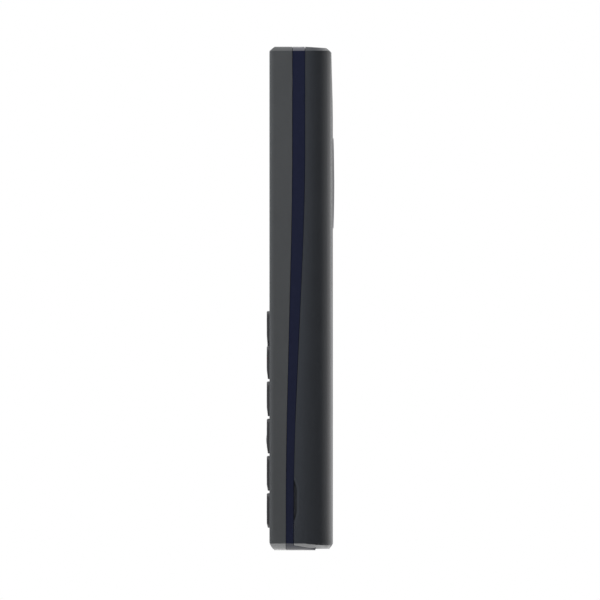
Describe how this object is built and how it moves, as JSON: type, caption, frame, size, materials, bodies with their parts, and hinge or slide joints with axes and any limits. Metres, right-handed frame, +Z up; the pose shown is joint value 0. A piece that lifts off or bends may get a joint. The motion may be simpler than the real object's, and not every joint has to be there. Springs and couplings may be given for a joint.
{
  "type": "candybar phone",
  "caption": "Upright bar-shaped keypad phone with a display window, press keys, a swept middle frame and a clip-on back cover over its battery.",
  "frame": {"origin": "middle of the bottom end, under the middle of the phone's box", "axes": "+Z up the length of the phone, +Y from the keys to the back, +X to the right hand side seen from the front"},
  "size_m": [0.05, 0.0156, 0.115],
  "materials": {
    "housing_plastic": "fine moulded texture, charcoal grey",
    "frame_plastic": "satin navy moulding",
    "cover_plastic": "fine moulded texture, dark grey",
    "key_plastic": "satin dark grey keys with pale legends",
    "mat_rubber": "matte silicone",
    "window_glass": "clear acrylic with a black printed border",
    "lcd_glass": "dark polariser film",
    "white_plastic": "white moulding",
    "steel": "tinned sheet",
    "film": "translucent film",
    "board": "green solder mask",
    "battery_wrap": "printed wrap",
    "black_plastic": "moulded, black",
    "gold": "gold plated",
    "mesh": "fine black mesh",
    "tungsten": "sintered metal",
    "clear_plastic": "clear moulding",
    "island_plastic": "polished black",
    "camera_glass": "coated window",
    "copper": "flexible copper strip",
    "screw_steel": "zinc plated"
  },
  "bodies": {
    "phone": {"front_housing": "housing_plastic", "middle_frame": "frame_plastic", "display_window": "window_glass", "lcd_panel": "lcd_glass", "lcd_backlight": "white_plastic", "lcd_frame": "steel", "key_mat": "mat_rubber", "dome_film": "film", "metal_domes": "steel", "main_board": "board", "shield_cans": "steel", "sim_sockets": "steel", "memory_card_socket": "steel", "battery": "battery_wrap", "contact_block": "black_plastic", "contact_blades": "gold", "charging_socket": "steel", "charging_tongue": "black_plastic", "headset_jack": "black_plastic", "microphone": "steel", "earpiece": "black_plastic", "earpiece_mesh": "mesh", "loudspeaker": "black_plastic", "speaker_gasket": "mat_rubber", "vibration_motor": "steel", "torch_led": "white_plastic", "torch_lens": "clear_plastic", "camera_module": "black_plastic", "flash_led": "white_plastic", "antenna": "copper", "housing_screws": "screw_steel"},
    "cover": {"back_cover": "cover_plastic", "camera_island": "island_plastic", "camera_window": "camera_glass", "flash_window": "clear_plastic", "speaker_mesh": "mesh"},
    "nav_rocker": {"nav_pad": "mat_rubber"},
    "nav_ring": {"nav_ring": "key_plastic"},
    "vibration_weight": {"vibration_weight": "tungsten"},
    "key_star": {"key_star": "key_plastic"},
    "key_0": {"key_0": "key_plastic"},
    "key_hash": {"key_hash": "key_plastic"},
    "key_7": {"key_7": "key_plastic"},
    "key_8": {"key_8": "key_plastic"},
    "key_9": {"key_9": "key_plastic"},
    "key_4": {"key_4": "key_plastic"},
    "key_5": {"key_5": "key_plastic"},
    "key_6": {"key_6": "key_plastic"},
    "key_1": {"key_1": "key_plastic"},
    "key_2": {"key_2": "key_plastic"},
    "key_3": {"key_3": "key_plastic"},
    "left_soft_key": {"left_soft_key": "key_plastic"},
    "right_soft_key": {"right_soft_key": "key_plastic"},
    "call_key": {"call_key": "key_plastic"},
    "end_key": {"end_key": "key_plastic"},
    "select_key": {"select_key": "key_plastic"}
  },
  "joints": [
    {"name": "cover_lift_off", "type": "slide", "parent": "phone", "child": "cover", "axis": [0, 1, 0], "range_m": [0, 0.025]},
    {"name": "vibration_spin", "type": "hinge", "parent": "phone", "child": "vibration_weight", "pos_m": [0.0154, 0.00195, 0.103], "axis": [1, 0, 0], "continuous": true},
    {"name": "nav_up_down", "type": "hinge", "parent": "phone", "child": "nav_rocker", "pos_m": [0, -0.00515, 0.04688], "axis": [1, 0, 0], "range_deg": [-2, 2], "stiffness_Nm_per_rad": 0.2},
    {"name": "nav_left_right", "type": "hinge", "parent": "nav_rocker", "child": "nav_ring", "pos_m": [0, -0.0054, 0.04688], "axis": [0, 0, 1], "range_deg": [-2, 2], "stiffness_Nm_per_rad": 0.2},
    {"name": "key_star_press", "type": "slide", "parent": "phone", "child": "key_star", "axis": [0, 1, 0], "range_m": [0, 0.00035], "stiffness_N_per_m": 4000},
    {"name": "key_0_press", "type": "slide", "parent": "phone", "child": "key_0", "axis": [0, 1, 0], "range_m": [0, 0.00035], "stiffness_N_per_m": 4000},
    {"name": "key_hash_press", "type": "slide", "parent": "phone", "child": "key_hash", "axis": [0, 1, 0], "range_m": [0, 0.00035], "stiffness_N_per_m": 4000},
    {"name": "key_7_press", "type": "slide", "parent": "phone", "child": "key_7", "axis": [0, 1, 0], "range_m": [0, 0.00035], "stiffness_N_per_m": 4000},
    {"name": "key_8_press", "type": "slide", "parent": "phone", "child": "key_8", "axis": [0, 1, 0], "range_m": [0, 0.00035], "stiffness_N_per_m": 4000},
    {"name": "key_9_press", "type": "slide", "parent": "phone", "child": "key_9", "axis": [0, 1, 0], "range_m": [0, 0.00035], "stiffness_N_per_m": 4000},
    {"name": "key_4_press", "type": "slide", "parent": "phone", "child": "key_4", "axis": [0, 1, 0], "range_m": [0, 0.00035], "stiffness_N_per_m": 4000},
    {"name": "key_5_press", "type": "slide", "parent": "phone", "child": "key_5", "axis": [0, 1, 0], "range_m": [0, 0.00035], "stiffness_N_per_m": 4000},
    {"name": "key_6_press", "type": "slide", "parent": "phone", "child": "key_6", "axis": [0, 1, 0], "range_m": [0, 0.00035], "stiffness_N_per_m": 4000},
    {"name": "key_1_press", "type": "slide", "parent": "phone", "child": "key_1", "axis": [0, 1, 0], "range_m": [0, 0.00035], "stiffness_N_per_m": 4000},
    {"name": "key_2_press", "type": "slide", "parent": "phone", "child": "key_2", "axis": [0, 1, 0], "range_m": [0, 0.00035], "stiffness_N_per_m": 4000},
    {"name": "key_3_press", "type": "slide", "parent": "phone", "child": "key_3", "axis": [0, 1, 0], "range_m": [0, 0.00035], "stiffness_N_per_m": 4000},
    {"name": "left_soft_key_press", "type": "slide", "parent": "phone", "child": "left_soft_key", "axis": [0, 1, 0], "range_m": [0, 0.00035], "stiffness_N_per_m": 4000},
    {"name": "right_soft_key_press", "type": "slide", "parent": "phone", "child": "right_soft_key", "axis": [0, 1, 0], "range_m": [0, 0.00035], "stiffness_N_per_m": 4000},
    {"name": "call_key_press", "type": "slide", "parent": "phone", "child": "call_key", "axis": [0, 1, 0], "range_m": [0, 0.00035], "stiffness_N_per_m": 4000},
    {"name": "end_key_press", "type": "slide", "parent": "phone", "child": "end_key", "axis": [0, 1, 0], "range_m": [0, 0.00035], "stiffness_N_per_m": 4000},
    {"name": "select_key_press", "type": "slide", "parent": "phone", "child": "select_key", "axis": [0, 1, 0], "range_m": [0, 0.00035], "stiffness_N_per_m": 4000}
  ]
}
